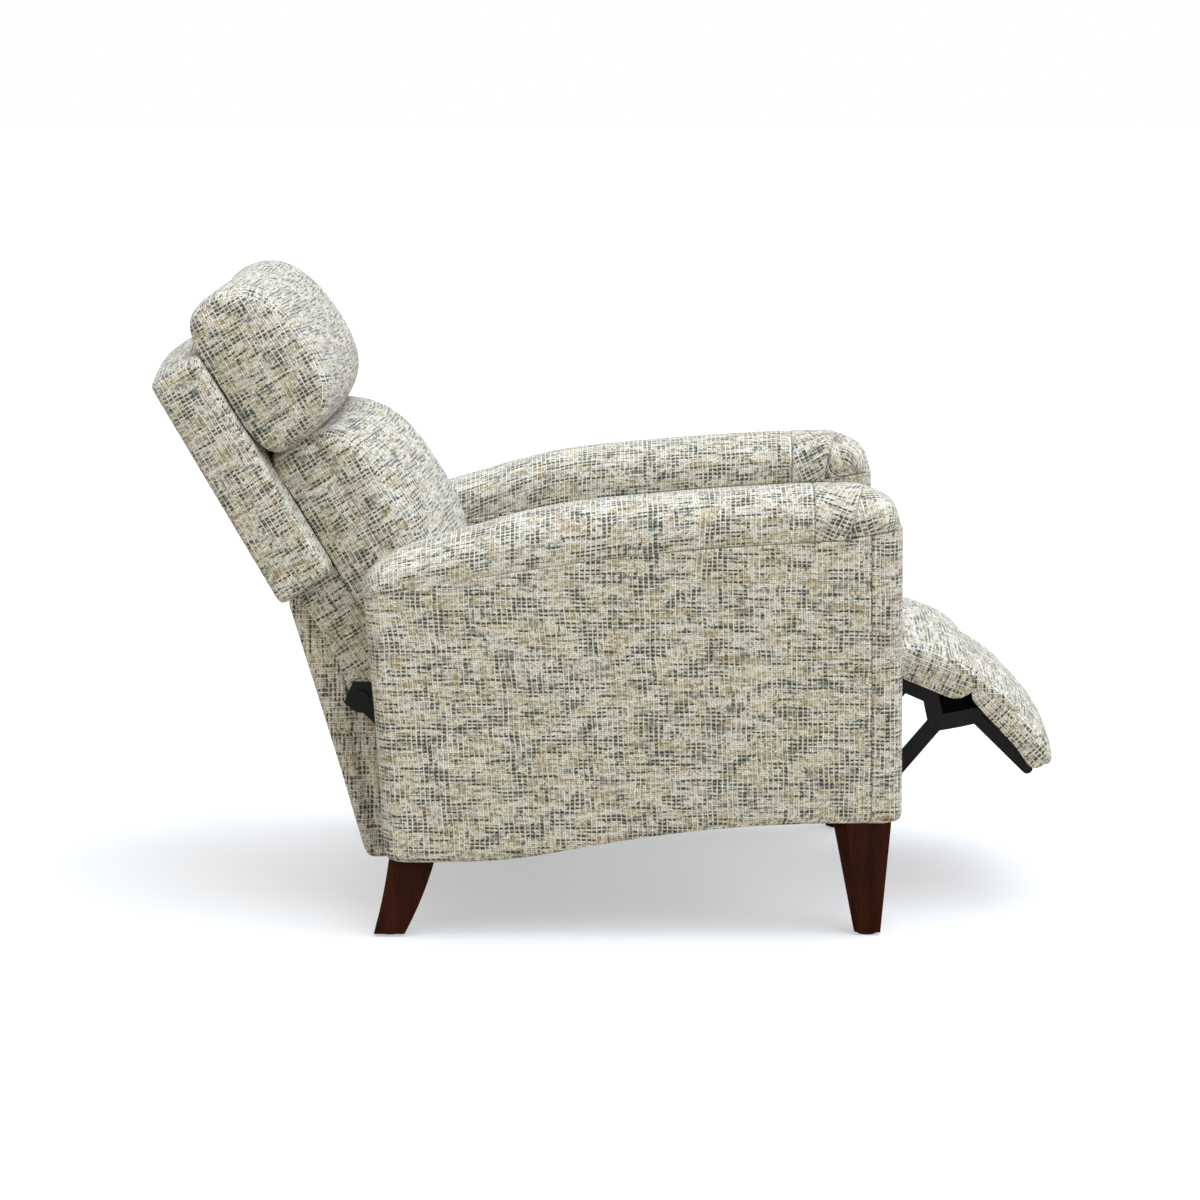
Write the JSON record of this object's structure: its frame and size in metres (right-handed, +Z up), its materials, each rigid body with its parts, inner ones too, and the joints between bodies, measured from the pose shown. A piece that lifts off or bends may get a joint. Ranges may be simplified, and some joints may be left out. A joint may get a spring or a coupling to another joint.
{
  "type": "push-back recliner",
  "caption": "Upholstered push-back armchair on wooden legs; leaning back tilts the back, slides the seat and swings out a two-pad leg rest.",
  "frame": {"origin": "centre of the bounding box at floor level, chair half reclined as pictured", "axes": "+X to the front of the chair, +Y to the sitter's left, +Z up"},
  "size_m": [1.2831, 0.76, 0.9145],
  "materials": {
    "tweed": "woven multi-colour tweed",
    "leg_wood": "satin dark stain",
    "frame_wood": "raw hardwood and plywood",
    "black_board": "plywood under black lining cloth",
    "zinc_steel": "zinc plated",
    "black_steel": "black paint",
    "glide_plastic": "moulded"
  },
  "bodies": {
    "base": {"right_arm_cover": "tweed", "left_arm_cover": "tweed", "right_arm_frame": "frame_wood", "left_arm_frame": "frame_wood", "right_arm_pad": "tweed", "left_arm_pad": "tweed", "rear_right_leg": "leg_wood", "rear_left_leg": "leg_wood", "front_right_leg": "leg_wood", "front_left_leg": "leg_wood", "leg_bolts": "zinc_steel", "leg_glides": "glide_plastic", "front_rail": "frame_wood", "rear_rail": "frame_wood", "right_base_plate": "black_steel", "left_base_plate": "black_steel", "base_pivot_pins": "zinc_steel"},
    "front_swing": {"right_front_swing_link": "black_steel", "left_front_swing_link": "black_steel"},
    "rear_swing": {"right_rear_swing_link": "black_steel", "left_rear_swing_link": "black_steel"},
    "seat": {"seat_frame": "frame_wood", "seat_springs": "zinc_steel", "seat_cushion": "tweed", "right_seat_plate": "black_steel", "left_seat_plate": "black_steel", "seat_cross_tube": "black_steel", "seat_pivot_pins": "zinc_steel", "recline_bolts": "black_steel"},
    "back": {"back_frame": "frame_wood", "upper_back_cover": "tweed", "lower_back_cover": "tweed", "tail_panel": "tweed", "headrest_cushion": "tweed", "lumbar_cushion": "tweed", "right_back_bracket": "black_steel", "left_back_bracket": "black_steel", "back_link_pins": "black_steel"},
    "back_links": {"right_back_link": "black_steel", "left_back_link": "black_steel"},
    "lower_rear_links": {"right_lower_rear_link": "black_steel", "left_lower_rear_link": "black_steel", "knee_pins": "black_steel"},
    "lower_front_links": {"right_lower_front_link": "black_steel", "left_lower_front_link": "black_steel"},
    "upper_rear_links": {"right_upper_rear_link": "black_steel", "left_upper_rear_link": "black_steel", "upper_link_pins": "black_steel"},
    "foot_rest": {"right_foot_bracket": "black_steel", "left_foot_bracket": "black_steel", "foot_board": "black_board", "foot_pad": "tweed", "foot_pivot_pins": "black_steel"},
    "mid_rest": {"right_mid_bracket": "black_steel", "left_mid_bracket": "black_steel", "mid_board": "black_board", "mid_pad": "tweed"},
    "drive_rods": {"right_drive_rod": "black_steel", "left_drive_rod": "black_steel"}
  },
  "joints": [
    {"name": "back_recline", "type": "hinge", "parent": "seat", "child": "back", "pos_m": [-0.3451, 0, 0.314], "axis": [0, -1, 0], "range_deg": [-16, 6]},
    {"name": "front_swing", "type": "hinge", "parent": "base", "child": "front_swing", "pos_m": [0.1929, 0, 0.19], "axis": [0, -1, 0], "range_deg": [-6.02, 16.02]},
    {"name": "rear_swing", "type": "hinge", "parent": "base", "child": "rear_swing", "pos_m": [-0.1871, 0, 0.19], "axis": [0, -1, 0], "range_deg": [-6.02, 16.02]},
    {"name": "seat_glide", "type": "hinge", "parent": "front_swing", "child": "seat", "pos_m": [0.20264, 0, 0.25932], "axis": [0, -1, 0], "range_deg": [-16.02, 6.02]},
    {"name": "back_link_turn", "type": "hinge", "parent": "base", "child": "back_links", "pos_m": [-0.2751, 0, 0.132], "axis": [0, -1, 0], "range_deg": [-4.86, 12.93]},
    {"name": "lower_rear_turn", "type": "hinge", "parent": "seat", "child": "lower_rear_links", "pos_m": [0.3327, 0, 0.2263], "axis": [0, -1, 0], "range_deg": [-45.02, 16.89]},
    {"name": "upper_rear_turn", "type": "hinge", "parent": "seat", "child": "upper_rear_links", "pos_m": [0.3327, 0, 0.2263], "axis": [0, -1, 0], "range_deg": [-16.89, 45.02]},
    {"name": "lower_front_turn", "type": "hinge", "parent": "lower_rear_links", "child": "lower_front_links", "pos_m": [0.38091, 0, 0.16885], "axis": [0, -1, 0], "range_deg": [-33.77, 90.02]},
    {"name": "foot_turn", "type": "hinge", "parent": "upper_rear_links", "child": "foot_rest", "pos_m": [0.42269, 0, 0.33355], "axis": [0, -1, 0], "range_deg": [-90.02, 33.77]},
    {"name": "mid_turn", "type": "hinge", "parent": "foot_rest", "child": "mid_rest", "pos_m": [0.42269, 0, 0.33355], "axis": [0, -1, 0], "range_deg": [-18.02, 6.77]},
    {"name": "drive_rod_turn", "type": "hinge", "parent": "base", "child": "drive_rods", "pos_m": [0.2429, 0, 0.18], "axis": [0, -1, 0], "range_deg": [-1.02, 2.69]}
  ],
  "couplings": [
    {"joint": "front_swing", "follows": "back_recline", "ratio": -1},
    {"joint": "rear_swing", "follows": "back_recline", "ratio": -1},
    {"joint": "seat_glide", "follows": "back_recline", "ratio": 1},
    {"joint": "back_link_turn", "follows": "back_recline", "ratio": -0.807},
    {"joint": "lower_rear_turn", "follows": "back_recline", "ratio": 2.8125},
    {"joint": "upper_rear_turn", "follows": "back_recline", "ratio": -2.8125},
    {"joint": "lower_front_turn", "follows": "back_recline", "ratio": -5.625},
    {"joint": "foot_turn", "follows": "back_recline", "ratio": 5.625},
    {"joint": "mid_turn", "follows": "back_recline", "ratio": 1.125},
    {"joint": "drive_rod_turn", "follows": "back_recline", "ratio": -0.167}
  ]
}
